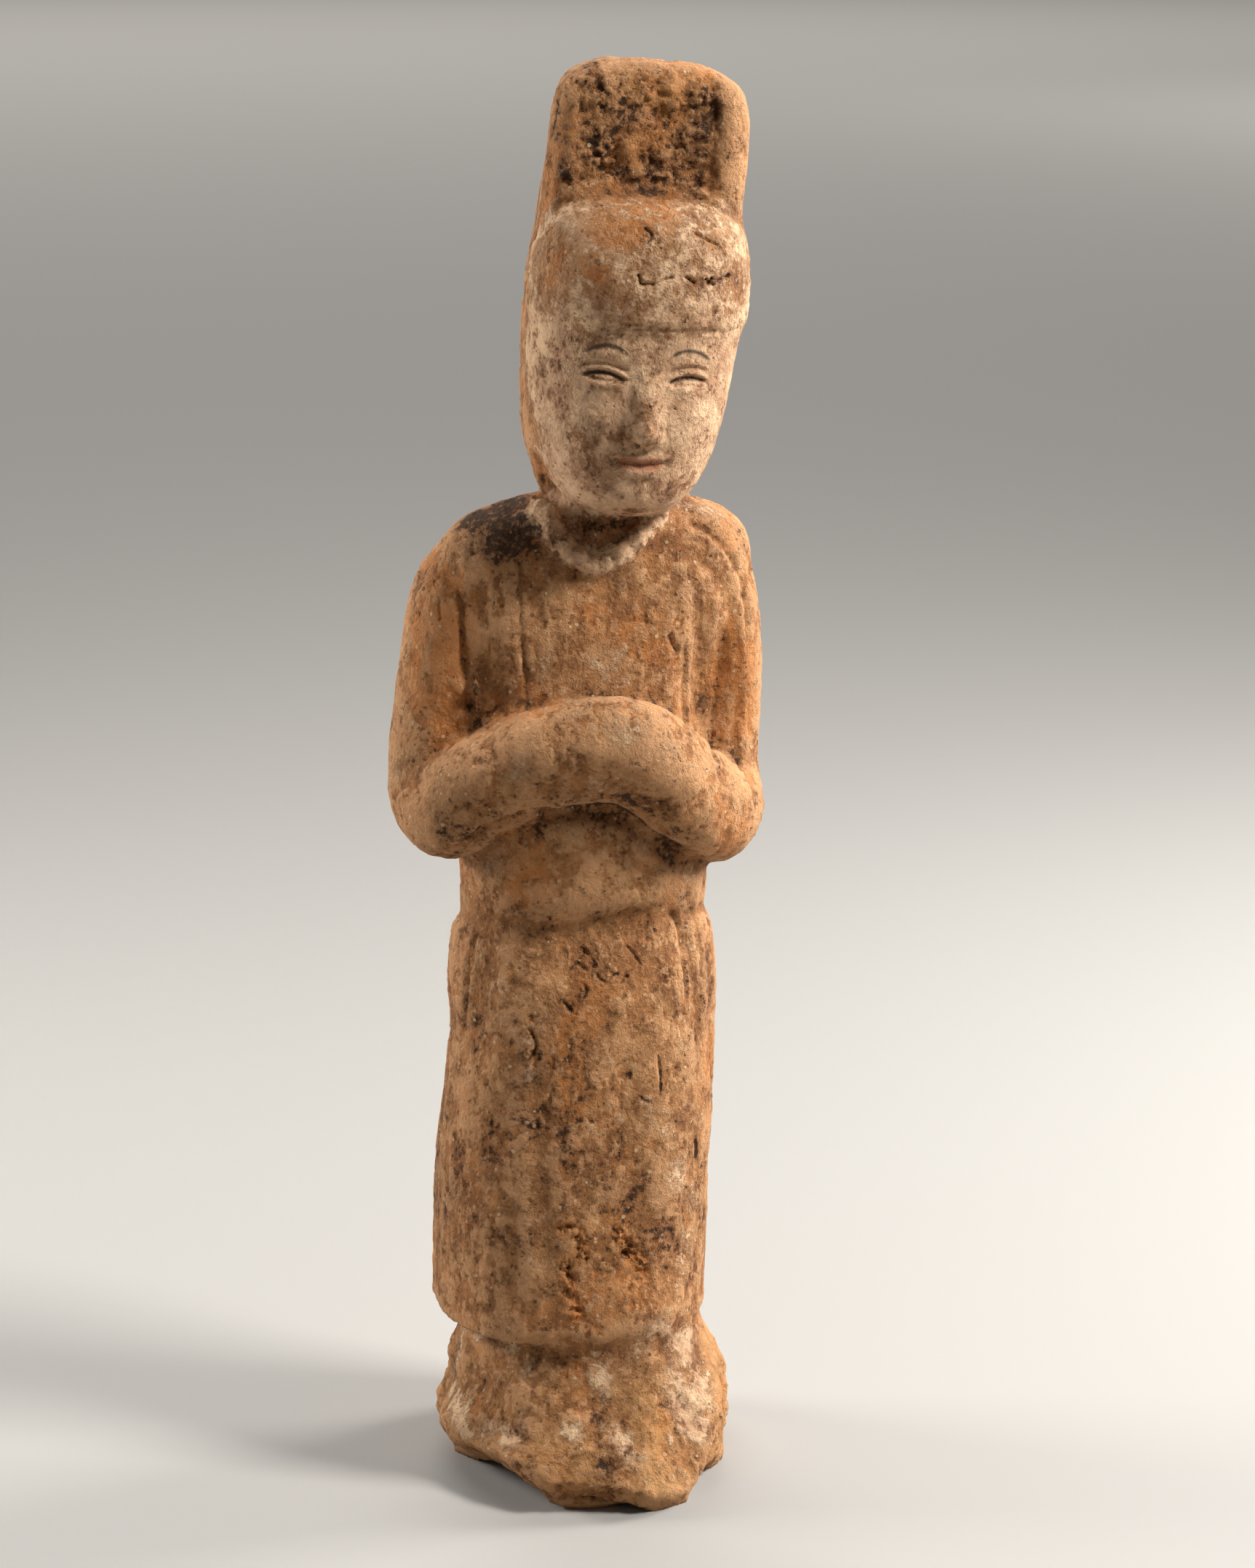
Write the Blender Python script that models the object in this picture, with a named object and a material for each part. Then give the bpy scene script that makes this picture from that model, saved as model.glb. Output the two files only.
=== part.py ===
"""An earthenware tomb figure: a standing attendant in a tall hat, hands joined inside long sleeves.

Metres, +Z up. The ground is z = 0, the figure faces -Y and its own left arm is at +X. It was pressed in
a mould and fired in one piece, so it is one solid, with a flat underside to stand on.
"""

import math
from collections import namedtuple

import bmesh
import bpy
import numpy as np
from mathutils import Matrix, Vector, noise

HEIGHT = 0.300  # from the ground to the top of the hat
PART = HEIGHT / 300  # the figure's proportions below are in these parts of its height

# The clay: how finely the joined forms are gone over before they are thinned to few faces
GRAIN = 1.1  # side of one cell of the joined surface, in parts
SPONGINGS = 5  # passes of the wet sponge over the joins
FACES_KEPT = 9000
RING_POINTS = 48

# A level cut through a form: its height, the x of its middle, and its reach sideways, forwards and back
Level = namedtuple("Level", "z x side front back")
# A point of a sleeve: its centre, its half height along the figure and its half thickness off the body
Sleeve = namedtuple("Sleeve", "x y z tall thick")
# A line drawn on the front of the figure with a tool: its points in x and z, its half width and depth
Line = namedtuple("Line", "points width depth")

UNDER_CUT = 6  # how far the forms run below the ground before they are sliced off level
HEM_UP = 34.0  # where the outer robe ends above the under-robe
BELT_UP = 123.0

UNDER_ROBE = (
    Level(-UNDER_CUT, 0.0, 31.5, 35.5, 27.0),
    Level(0.0, -0.2, 32.8, 42.0, 28.0),
    Level(6.0, -1.6, 32.4, 41.0, 28.4),
    Level(12.0, -1.4, 31.6, 37.0, 27.0),
    Level(18.0, -0.4, 30.0, 32.8, 25.4),
    Level(24.0, -0.8, 28.0, 29.8, 24.0),
    Level(HEM_UP - 5.0, -1.6, 26.4, 28.6, 23.2),
    Level(HEM_UP + 4.0, -1.5, 26.2, 27.6, 22.6),
)
ROBE = (
    Level(HEM_UP + 0.6, -4.0, 28.4, 29.6, 23.6),
    Level(HEM_UP + 3.0, -4.2, 28.9, 30.2, 24.2),
    Level(49.0, -3.9, 29.4, 29.4, 24.0),
    Level(62.0, -3.5, 29.4, 28.4, 23.2),
    Level(80.0, -2.0, 29.0, 26.0, 21.4),
    Level(97.0, -0.8, 28.4, 23.4, 19.6),
    Level(109.0, -0.8, 28.9, 21.0, 18.4),
    Level(BELT_UP - 6.0, -1.0, 28.0, 18.8, 17.2),
    Level(BELT_UP + 1.0, -0.7, 26.2, 17.4, 16.2),
)
TORSO = (
    Level(BELT_UP - 3.0, -0.5, 23.4, 15.4, 13.4),
    Level(BELT_UP + 0.5, -0.5, 25.6, 18.0, 16.2),
    Level(130.0, -0.5, 26.2, 20.4, 16.6),
    Level(146.0, -0.6, 26.4, 21.0, 16.4),
    Level(165.0, -0.4, 26.4, 19.6, 16.4),
    Level(178.0, 0.0, 27.6, 18.4, 16.2),
    Level(188.0, 0.8, 33.4, 16.8, 15.8),
    Level(198.0, 1.4, 33.8, 14.6, 14.8),
    Level(203.5, 2.2, 31.6, 12.8, 13.6),
    Level(207.5, 2.6, 27.4, 11.2, 12.4),
    Level(210.0, 3.0, 20.4, 9.6, 11.0),
    Level(211.8, 3.4, 12.0, 8.0, 9.6),
)
NECK = (
    Level(190.0, 2.6, 11.0, 13.0, 11.0),
    Level(200.0, 3.2, 12.6, 14.6, 11.4),
    Level(212.0, 4.0, 12.6, 13.6, 11.2),
    Level(230.0, 5.2, 13.0, 11.0, 11.0),
)

# The arm on the figure's right, from the shoulder to the joined hands, then on to its left shoulder
SLEEVES = (
    Sleeve(-21.0, 0.6, 200.0, 7.0, 7.0),
    Sleeve(-26.2, 0.4, 192.0, 10.0, 9.8),
    Sleeve(-29.4, 0.2, 176.0, 10.8, 9.8),
    Sleeve(-31.2, -0.4, 155.0, 11.4, 10.6),
    Sleeve(-30.2, -7.0, 148.0, 11.8, 11.0),
    Sleeve(-24.4, -15.4, 153.4, 10.8, 9.6),
    Sleeve(-12.8, -21.2, 159.8, 11.0, 9.0),
    Sleeve(0.3, -23.6, 161.8, 11.6, 8.8),
    Sleeve(9.0, -22.4, 158.8, 11.6, 9.0),
    Sleeve(19.6, -16.0, 149.8, 11.2, 9.2),
    Sleeve(27.4, -6.0, 144.8, 11.8, 9.8),
    Sleeve(27.9, 0.0, 153.6, 10.6, 9.0),
    Sleeve(28.8, 0.2, 176.0, 10.2, 9.0),
    Sleeve(26.8, 0.4, 191.0, 10.0, 9.4),
    Sleeve(22.0, 0.6, 200.0, 7.0, 7.0),
)

# The head has its own measure: z counts up from the chin, y from the middle of the skull
CAP_TALL = 64.0  # chin to the top of the close cap
CAP_EDGE = 38.0
SKULL = (
    Level(-1.6, 0.0, 6.0, 12.0, 7.0),
    Level(0.4, 0.0, 11.0, 17.6, 10.0),
    Level(5.0, 0.0, 15.4, 20.6, 13.0),
    Level(11.5, 0.0, 18.2, 21.6, 16.0),
    Level(19.0, 0.0, 20.0, 21.8, 18.4),
    Level(27.0, 0.0, 21.0, 21.6, 20.0),
    Level(34.0, 0.0, 21.6, 21.2, 21.0),
    Level(42.0, 0.0, 22.0, 21.6, 21.6),
    Level(49.0, 0.0, 21.9, 20.8, 21.6),
    Level(CAP_TALL - 8.0, 0.0, 20.4, 18.6, 21.0),
    Level(CAP_TALL - 3.5, 0.0, 17.0, 14.8, 19.0),
    Level(CAP_TALL - 1.0, 0.0, 12.0, 10.0, 16.0),
    Level(CAP_TALL, 0.0, 6.0, 5.0, 9.0),
)
HAT_TALL = 89.0  # chin to the top of the hat
HAT = (
    Level(1.0, 0.0, 16.0, -3.0, 17.0),
    Level(12.0, 0.0, 19.4, 0.0, 20.6),
    Level(26.0, 0.0, 21.2, 2.0, 22.4),
    Level(42.0, 0.0, 21.6, 5.0, 22.2),
    Level(56.0, -0.4, 20.2, 7.0, 20.4),
    Level(HAT_TALL - 19.0, 0.0, 20.0, 8.4, 17.8),
    Level(HAT_TALL - 9.0, 0.0, 19.6, 7.8, 15.8),
    Level(HAT_TALL - 3.5, 0.0, 17.4, 6.2, 13.8),
    Level(HAT_TALL, 0.0, 10.6, 2.6, 9.4),
)

# Outlines of the levels: a plain oval, a fuller one, and the hat's, between an oval and a box
ROUND, FULL, SQUARED = 2.0, 2.3, 3.4

CHIN = Vector((5.4, -6.0, 211.5))
HEAD_LEAN = math.radians(5)  # towards the figure's left shoulder
HEAD_BOW = math.radians(3)

# The face is laid out by the usual canon, in shares of the bare head from chin to crown: the eyes are
# halfway up and an eye's width apart, five eyes make the width, and the nose and the mouth divide the rest
FACE_TALL, FACE_WIDTH = 55.0, 42.0
EYES_UP, BROWS_UP, NOSE_UP, MOUTH_UP = 0.50, 0.585, 0.29, 0.195
EYE_OUT = 0.2

FRONT_LINES = (
    Line(((-24.0, 198), (-24.6, 182), (-23.4, 160)), 1.9, 1.7),  # between the right arm and the chest
    Line(((21.6, 196), (22.4, 180), (21.0, 160)), 1.7, 1.3),  # and the left one
    Line(((27.0, 188), (28.4, 174), (27.6, 160)), 1.2, 0.9),  # a pleat of the left sleeve
    Line(((-13.6, 204), (-13.8, 184), (-12.8, 166)), 1.0, 1.0),  # the robe's edge over the chest
    Line(((9.0, 204), (21.0, 200), (28.4, 191), (31.8, 170)), 1.0, 0.7),  # the seam of the left shoulder
    Line(((-23.4, 124), (-25.0, 108), (-27.4, 88)), 1.5, 1.5),  # the skirt's side folds
    Line(((18.6, 124), (21.2, 108), (22.0, 84)), 1.4, 1.2),
    Line(((24.6, 120), (25.4, 100), (25.0, 80)), 1.1, 0.8),
    Line(((-14.0, 106), (-14.4, 70), (-13.0, 38)), 2.6, 0.8),  # the slack of the skirt
    Line(((4.0, 104), (5.0, 70), (5.4, 40)), 3.0, 0.6),
)
COLLAR = ((-11.0, 210), (-7.6, 204), (-1.0, 198.6), (6.0, 201.6), (14.0, 209))
COLLAR_WIDTH, COLLAR_RISE = 2.0, 2.0

# A knocked-off corner of the base: the direction it faces, in degrees from the front, its tilt down
# from upright and its distance from the axis
Chip = namedtuple("Chip", "heading tilt reach")
CHIPS = (
    Chip(-58, 36, 28.4),
    Chip(-14, 30, 36.4),
    Chip(22, 30, 39.4),
    Chip(54, 26, 34.0),
    Chip(100, 20, 30.5),
    Chip(150, 24, 25.6),
    Chip(-110, 18, 30.8),
    Chip(-160, 22, 25.8),
)
CHIP_TOP = 14.0  # no corner is lost above this


def clear_scene():
    for thing in list(bpy.data.objects):
        bpy.data.objects.remove(thing, do_unlink=True)


def between(rows, steps):
    """The rows with smooth ones worked out between them, as a curve through the given ones."""
    table = np.array(rows, float)
    ends = np.vstack([2 * table[0] - table[1], table, 2 * table[-1] - table[-2]])
    found = []
    for before, here, after, beyond in zip(ends, ends[1:], ends[2:], ends[3:]):
        for t in np.arange(steps) / steps:
            cubic = 3 * here - before - 3 * after + beyond
            square = 2 * before - 5 * here + 4 * after - beyond
            found.append(here + t * (after - before + t * (square + t * cubic)) / 2)
    found.append(table[-1])
    return found


def bridged(bm, rings):
    """Closes a stack of rings into one skin with flat ends."""
    loops = [list({edge for point in ring for edge in point.link_edges}) for ring in rings]
    for lower, upper in zip(loops, loops[1:]):
        bmesh.ops.bridge_loops(bm, edges=lower + upper)
    bm.faces.new(rings[0])
    bm.faces.new(rings[-1])
    bmesh.ops.recalc_face_normals(bm, faces=bm.faces)


def superoval(angle, side, depth, power):
    """A point of an outline that is an oval at power 2 and nears a box above it."""
    across, along = math.cos(angle), math.sin(angle)
    return (
        side * math.copysign(abs(across) ** (2 / power), across),
        depth * math.copysign(abs(along) ** (2 / power), along),
    )


def stack(levels, power, steps=4):
    """A form lofted through its level cuts, with its outline's power."""
    bm = bmesh.new()
    rings = []
    for level in (Level(*row) for row in between(levels, steps)):
        ring = bmesh.ops.create_circle(bm, segments=RING_POINTS, radius=1.0)["verts"]
        for point in ring:
            angle = math.atan2(point.co.y, point.co.x)
            depth = level.back if point.co.y > 0 else level.front
            x, y = superoval(angle, level.side, abs(depth), power)
            if depth < 0:  # a front that stays behind the middle
                y = -depth
            point.co = (level.x + x, y, level.z)
        rings.append(ring)
    bridged(bm, rings)
    return bm


def sleeves(path, steps=5):
    """One sleeve run along the arms, its section flattened against the body."""
    bm = bmesh.new()
    rings = []
    line = [Sleeve(*row) for row in between(path, steps)]
    centres = [Vector((s.x, s.y, s.z)) for s in line]
    for i, place in enumerate(line):
        ahead = centres[min(i + 1, len(line) - 1)] - centres[max(i - 1, 0)]
        ahead.normalize()
        off = Vector((place.x, place.y, 0.0))
        off -= off.dot(ahead) * ahead
        off.normalize()
        along = ahead.cross(off)
        ring = bmesh.ops.create_circle(bm, segments=RING_POINTS // 2, radius=1.0)["verts"]
        for point in ring:
            point.co = centres[i] + off * (point.co.x * place.thick) + along * (point.co.y * place.tall)
        rings.append(ring)
    bridged(bm, rings)
    return bm


def head_place():
    """Carries the head's own measure to the figure's."""
    lean = Matrix.Rotation(HEAD_LEAN, 4, "Y")
    bow = Matrix.Rotation(HEAD_BOW, 4, "X")
    return Matrix.Translation(CHIN) @ lean @ bow


def joined(forms):
    """The forms as one skin: closed cells over the lot, then smoothed over the joins."""
    whole = bpy.data.meshes.new("forms")
    bm = bmesh.new()
    for form in forms:
        piece = bpy.data.meshes.new("form")
        form.to_mesh(piece)
        form.free()
        bm.from_mesh(piece)
        bpy.data.meshes.remove(piece)
    bm.to_mesh(whole)
    bm.free()
    lump = bpy.data.objects.new("lump", whole)
    bpy.context.scene.collection.objects.link(lump)
    cells = lump.modifiers.new("cells", "REMESH")
    cells.mode = "VOXEL"
    cells.voxel_size = GRAIN
    sponge = lump.modifiers.new("sponge", "SMOOTH")
    sponge.factor = 0.5
    sponge.iterations = SPONGINGS
    return settled(lump)


def settled(lump):
    """The mesh that an object's modifiers make, with the object itself cleared away."""
    graph = bpy.context.evaluated_depsgraph_get()
    mesh = bpy.data.meshes.new_from_object(lump.evaluated_get(graph))
    bpy.data.objects.remove(lump)
    return mesh


def coordinates(mesh):
    """The mesh's points and their normals as arrays."""
    places = np.empty(len(mesh.vertices) * 3, np.float32)
    mesh.vertices.foreach_get("co", places)
    normals = np.empty(len(mesh.vertices) * 3, np.float32)
    mesh.vertices.foreach_get("normal", normals)
    return places.reshape(-1, 3).astype(float), normals.reshape(-1, 3).astype(float)


def moved(mesh, places):
    mesh.vertices.foreach_set("co", places.astype(np.float32).ravel())
    mesh.update()


def ease(low, high, value):
    """0 below low, 1 above high, smooth between."""
    t = np.clip((value - low) / (high - low), 0, 1)
    return t * t * (3 - 2 * t)


def hill(value, middle, width):
    return np.exp(-(((value - middle) / width) ** 2))


def away(flat, route):
    """How far each flat point lies from the line of route, and how far along it, as a share."""
    route = np.array(between(route, 6))
    nearest = np.full(len(flat), 1e9)
    along = np.zeros(len(flat))
    for i, (start, end) in enumerate(zip(route, route[1:])):
        run = end - start
        t = np.clip((flat - start) @ run / (run @ run), 0, 1)
        distance = np.hypot(*(flat - start - t[:, None] * run).T)
        along = np.where(distance < nearest, (i + t) / (len(route) - 1), along)
        nearest = np.minimum(nearest, distance)
    return nearest, along


def draw_lines(places, normals):
    """Tool lines on the front: grooves beside the arms, folds and seams."""
    flat = places[:, [0, 2]]
    facing = ease(0.0, 0.3, -normals[:, 1])
    rise = np.zeros(len(places))
    for line in FRONT_LINES:
        distance, along = away(flat, line.points)
        pressure = ease(0, 0.3, along) * ease(0, 0.3, 1 - along)
        rise -= line.depth * pressure * hill(distance, 0, line.width) * facing
    distance, _ = away(flat, COLLAR)
    below_chin = 1 - ease(CHIN.z - 3, CHIN.z + 1, places[:, 2])
    return rise + COLLAR_RISE * hill(distance, 0, COLLAR_WIDTH) * facing * below_chin


def ring_lines(places):
    """Lines that run right round: under the robe's hem and under the belt."""
    z = places[:, 2]
    drift = 0.6 * np.sin(places[:, 0] / 9)
    return (
        -0.9 * hill(z, HEM_UP - 1.8 + drift, 1.3)
        + 0.5 * hill(z, HEM_UP + 1.6 + drift, 1.5)
        - 0.8 * hill(z, BELT_UP - 0.6 + drift, 1.5)
    )


def shape_face(places):
    """Pushes the features forward from the plain front of the skull: the amount for each point."""
    across, up = places[:, 0], places[:, 2]
    out = np.abs(across)
    eye, brow, nose, mouth = (FACE_TALL * share for share in (EYES_UP, BROWS_UP, NOSE_UP, MOUTH_UP))
    eye_out = FACE_WIDTH * EYE_OUT
    down_nose = 1 - ease(nose, brow, up)
    bridge = (0.6 + 3.4 * down_nose) * ease(nose - 2.2, nose + 1.8, up) * (1 - ease(eye, brow + 2, up))
    shape = bridge * hill(across, 0, 2.2 + 0.9 * down_nose)
    shape += 0.9 * hill(out, 2.8, 1.5) * hill(up, nose + 1.4, 1.8)  # the wings of the nose
    shape += 0.6 * hill(out, eye_out, 5.5) * hill(up, brow + 0.4, 2.0)
    shape -= 1.2 * hill(out, eye_out - 1.0, 4.4) * hill(up, eye + 1.0, 2.6)
    shape += 1.1 * hill(out, eye_out, 3.6) * hill(up, eye - 0.6, 1.8)
    shape += 1.0 * hill(out, 11.0, 5.0) * hill(up, nose + 2.0, 5.5)
    shape += 1.0 * hill(out, 0, 4.6) * hill(up, mouth + 1.3, 1.2)
    shape -= 0.8 * hill(out, 0, 5.0) * hill(up, mouth, 0.8)
    shape += 1.1 * hill(out, 0, 3.8) * hill(up, mouth - 1.7, 1.2)
    shape += 1.2 * hill(out, 0, 5.0) * hill(up, 3.6, 2.8)
    return shape * ease(8.0, 15.0, -places[:, 1])


def shape_hat(places):
    """The close cap's lower edge, and the sunk front of the tall hat: the amount for each point."""
    across, forward, up = places[:, 0], -places[:, 1], places[:, 2]
    cap = 0.9 * ease(CAP_EDGE - 1.5, CAP_EDGE + 1.5, up) * (1 - ease(CAP_TALL - 8, CAP_TALL, up))
    sunk = (1 - ease(12.6, 16.2, np.abs(across + 1.6))) * ease(CAP_TALL - 2, CAP_TALL + 3, up)
    sunk *= (1 - ease(HAT_TALL - 8, HAT_TALL - 4, up)) * ease(2, 5, forward)
    return cap * ease(-2, 4, forward) - 1.9 * sunk


def chip_base(places):
    """Flattens the corners that the base has lost."""
    low = places[:, 2] < CHIP_TOP
    for chip in CHIPS:
        heading, tilt = math.radians(chip.heading), math.radians(chip.tilt)
        out = np.array([math.sin(heading), -math.cos(heading), -math.tan(tilt)])
        excess = places @ out - chip.reach
        excess = np.where(low & (excess > 0), excess, 0)
        level = out * [1, 1, 0]
        places -= excess[:, None] * level
    return places


def lump_base(places, normals):
    """Uneven clay on the under-robe, which was pressed by hand."""
    spread = 1 - ease(20, 32, places[:, 2])
    lumps = np.array([noise.noise(Vector(place) / 9) for place in places])
    places += normals * (1.5 * lumps * spread)[:, None]
    return places


def carve(mesh):
    places, normals = coordinates(mesh)
    places += normals * (draw_lines(places, normals) + ring_lines(places))[:, None]
    carry = np.array(head_place())
    back = np.linalg.inv(carry)
    own = places @ back[:3, :3].T + back[:3, 3]
    on_head = own[:, 2] > -1
    forward = np.where(on_head, shape_face(own), 0)
    places -= forward[:, None] * carry[:3, 1]
    places += normals * np.where(on_head, shape_hat(own), 0)[:, None]
    moved(mesh, chip_base(lump_base(places, normals)))


def thinned(mesh):
    """The same skin with fewer faces, kept where it bends most."""
    lump = bpy.data.objects.new("lump", mesh)
    bpy.context.scene.collection.objects.link(lump)
    thin = lump.modifiers.new("thin", "DECIMATE")
    mesh.calc_loop_triangles()
    thin.ratio = FACES_KEPT / len(mesh.loop_triangles)
    thin.use_collapse_triangulate = True
    return settled(lump)


def stood(mesh):
    """Slices the figure off at the ground, closes the cut and brings it from parts to metres."""
    bm = bmesh.new()
    bm.from_mesh(mesh)
    everything = bm.verts[:] + bm.edges[:] + bm.faces[:]
    bmesh.ops.bisect_plane(bm, geom=everything, plane_co=(0, 0, 0), plane_no=(0, 0, -1), clear_outer=True)
    rim = [edge for edge in bm.edges if edge.is_boundary]
    bmesh.ops.contextual_create(bm, geom=rim)
    bmesh.ops.triangulate(bm, faces=bm.faces)
    bmesh.ops.recalc_face_normals(bm, faces=bm.faces)
    top = max(point.co.z for point in bm.verts)
    bmesh.ops.scale(bm, vec=(PART, PART, HEIGHT / top), verts=bm.verts)
    bm.to_mesh(mesh)
    bm.free()
    return mesh


def earthenware():
    clay = bpy.data.materials.new("earthenware")
    clay.use_nodes = True
    shader = clay.node_tree.nodes["Principled BSDF"]
    shader.inputs["Base Color"].default_value = (0.42, 0.22, 0.11, 1)
    shader.inputs["Roughness"].default_value = 0.9
    shader.inputs["Metallic"].default_value = 0.0
    return clay


def figure():
    body = [stack(UNDER_ROBE, FULL), stack(ROBE, FULL), stack(TORSO, FULL), stack(NECK, ROUND)]
    head = [stack(SKULL, FULL), stack(HAT, SQUARED)]
    for form in head:
        bmesh.ops.transform(form, matrix=head_place(), verts=form.verts)
    mesh = joined([*body, sleeves(SLEEVES), *head])
    carve(mesh)
    mesh = stood(thinned(mesh))
    mesh.name = "figure"
    mesh.shade_smooth()
    mesh.set_sharp_from_angle(angle=math.radians(50))
    mesh.materials.append(earthenware())
    statue = bpy.data.objects.new("figure", mesh)
    bpy.context.scene.collection.objects.link(statue)
    return statue


def main():
    clear_scene()
    figure()


main()
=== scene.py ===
# %% [markdown]
# A tomb attendant of low-fired earthenware, pressed in a mould some fourteen centuries ago and
# buried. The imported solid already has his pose: a tall two-part hat, hands joined inside long
# sleeves, a robe, and the rough foot of an under-robe. This lesson gives that solid the skin it
# got from hands, kiln and soil. The order is the frame and camera, a fine skin over the solid, the
# carving in it, the worn layers of slip and dirt as values on its points, one layered material,
# and a pale studio.

import math

import bmesh
import bpy
import numpy as np
from mathutils import Matrix, Vector, noise
from mathutils.bvhtree import BVHTree


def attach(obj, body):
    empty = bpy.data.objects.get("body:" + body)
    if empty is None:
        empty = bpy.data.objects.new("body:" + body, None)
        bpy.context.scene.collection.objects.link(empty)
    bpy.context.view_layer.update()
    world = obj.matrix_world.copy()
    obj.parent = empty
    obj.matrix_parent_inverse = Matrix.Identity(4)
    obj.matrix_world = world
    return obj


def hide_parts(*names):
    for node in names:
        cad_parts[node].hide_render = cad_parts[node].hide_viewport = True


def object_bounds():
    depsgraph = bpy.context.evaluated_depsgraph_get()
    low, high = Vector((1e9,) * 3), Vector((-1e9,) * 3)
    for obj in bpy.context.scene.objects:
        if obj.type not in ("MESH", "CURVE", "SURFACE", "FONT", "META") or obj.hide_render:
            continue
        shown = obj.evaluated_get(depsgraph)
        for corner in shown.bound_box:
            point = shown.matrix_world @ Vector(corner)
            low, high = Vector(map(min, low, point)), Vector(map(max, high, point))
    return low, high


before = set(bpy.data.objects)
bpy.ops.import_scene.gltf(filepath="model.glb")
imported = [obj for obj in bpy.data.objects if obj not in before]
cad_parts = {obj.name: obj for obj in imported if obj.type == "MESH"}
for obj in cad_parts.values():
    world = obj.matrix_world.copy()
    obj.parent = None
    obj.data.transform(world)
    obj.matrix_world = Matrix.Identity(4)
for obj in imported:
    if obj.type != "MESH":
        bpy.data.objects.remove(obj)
cad_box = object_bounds()
MM = 0.001
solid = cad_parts["figure"]
HEIGHT = cad_box[1].z / MM
print(f"the solid stands {HEIGHT:.1f} mm tall")

# %% [markdown]
# The camera comes first, because the marks on the clay are placed by where the photograph shows
# them. It is a short telephoto a little above the head, looking down, and turned a few degrees
# towards the figure's right hand. The same lens then turns any pixel of the photograph into a ray,
# and the point where the ray meets the clay is the place of the mark, so that each mark sits on
# the surface.

# %% The camera and its rays
PHOTO_WIDE, PHOTO_TALL = 1725, 2156  # pixels
LENS, SENSOR = 85.0, 36.0  # mm, the sensor's long side standing up
CAMERA_AWAY, CAMERA_UP = 0.760, 0.333  # m
CAMERA_ROUND, CAMERA_DOWN, CAMERA_YAW = (math.radians(a) for a in (-10, 13.63, 0.67))

lens = bpy.data.cameras.new("camera")
lens.lens, lens.sensor_width = LENS, SENSOR
camera = bpy.data.objects.new("camera", lens)
bpy.context.scene.collection.objects.link(camera)
bpy.context.scene.camera = camera
camera.location = (
    CAMERA_AWAY * math.sin(CAMERA_ROUND),
    -CAMERA_AWAY * math.cos(CAMERA_ROUND),
    CAMERA_UP,
)
heading = CAMERA_ROUND - CAMERA_YAW
ahead = Vector((-math.sin(heading), math.cos(heading), -math.tan(CAMERA_DOWN)))
turn = ahead.to_track_quat("-Z", "Y")
camera.rotation_euler = turn.to_euler()

SAME_POINT = 0.001  # mm
MID_CHEST = (800, 850)

cad_skin = bmesh.new()
cad_skin.from_mesh(solid.data)
bmesh.ops.remove_doubles(cad_skin, verts=cad_skin.verts, dist=SAME_POINT * MM)
surface = BVHTree.FromBMesh(cad_skin)


def touch(pixel):
    """The point of the clay, in mm, that a pixel of the photograph shows."""
    focal = LENS / SENSOR * PHOTO_TALL
    aside, up = pixel[0] - PHOTO_WIDE / 2, PHOTO_TALL / 2 - pixel[1]
    ray = turn @ Vector((aside / focal, up / focal, -1))
    hit = surface.ray_cast(camera.location, ray.normalized())[0]
    if hit is None:  # just past the outline: the nearest point of the clay
        middle = camera.location + ray * (CAMERA_AWAY / math.cos(CAMERA_DOWN))
        hit = surface.find_nearest(middle)[0]
    return np.array(hit) / MM


print("the middle of the chest is at", touch(MID_CHEST).round(1), "mm")

# %% [markdown]
# The solid has a few thousand flat faces, enough for its form but not for clay. Its copy is
# rounded with one subdivision, covered with an even net of cells about half a millimetre wide, and
# wiped smooth, as the potter wiped the wet clay. An even net matters here: every mark that follows
# is pressed into its points. The lines of face and cap, the scratches below the belt and the chips
# are the finest, so there the cells are halved. The head has its own measure, which leans and bows
# with it: z counts up from the chin, and y runs back from the middle of the skull.

# %% The fine skin
CELL = 0.55  # mm
WIPES = 14
FACE_FRONT = 11.0  # mm ahead of the middle of the skull, where the finer cells begin

attendant = bpy.data.objects.new("attendant", bpy.data.meshes.new("attendant"))
cad_skin.to_mesh(attendant.data)
cad_skin.free()
bpy.context.scene.collection.objects.link(attendant)


def settle(piece):
    """Turns the modifiers on a piece into its own mesh."""
    graph = bpy.context.evaluated_depsgraph_get()
    made = bpy.data.meshes.new_from_object(piece.evaluated_get(graph))
    piece.modifiers.clear()
    piece.data = made


CHIN = Vector((5.4, -6.0, 211.5))  # mm
HEAD_LEAN, HEAD_BOW = math.radians(5), math.radians(3)
CAP_EDGE, CAP_TALL, HAT_TALL = 38.0, 64.0, 89.0  # mm above the chin
lean, bow = Matrix.Rotation(HEAD_LEAN, 4, "Y"), Matrix.Rotation(HEAD_BOW, 4, "X")
head_frame = Matrix.Translation(CHIN) @ lean @ bow
back_to_head = head_frame.inverted()

rounding = attendant.modifiers.new("rounding", "SUBSURF")
rounding.levels = rounding.render_levels = 1
net = attendant.modifiers.new("net", "REMESH")
net.mode, net.voxel_size = "VOXEL", CELL * MM
wipe = attendant.modifiers.new("wipe", "SMOOTH")
wipe.iterations = WIPES
settle(attendant)

FINE_PLACES = (
    # pixel, half the size of the box round it in mm
    ((835, 1410), (16, 8, 20)),
    ((828, 1747), (13, 8, 13)),
    ((918, 868), (7, 7, 7)),
    ((955, 950), (5, 8, 12)),
)
fine_boxes = [(Vector(touch(pixel)), half) for pixel, half in FINE_PLACES]


def is_fine(point):
    """Whether a point in mm lies on the face, on the cap or in one of the boxes."""
    own = back_to_head @ point
    boxed = any(
        all(abs(point[i] - middle[i]) < half[i] for i in range(3)) for middle, half in fine_boxes
    )
    return boxed or own.y < -FACE_FRONT and 0 < own.z < CAP_TALL


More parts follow.
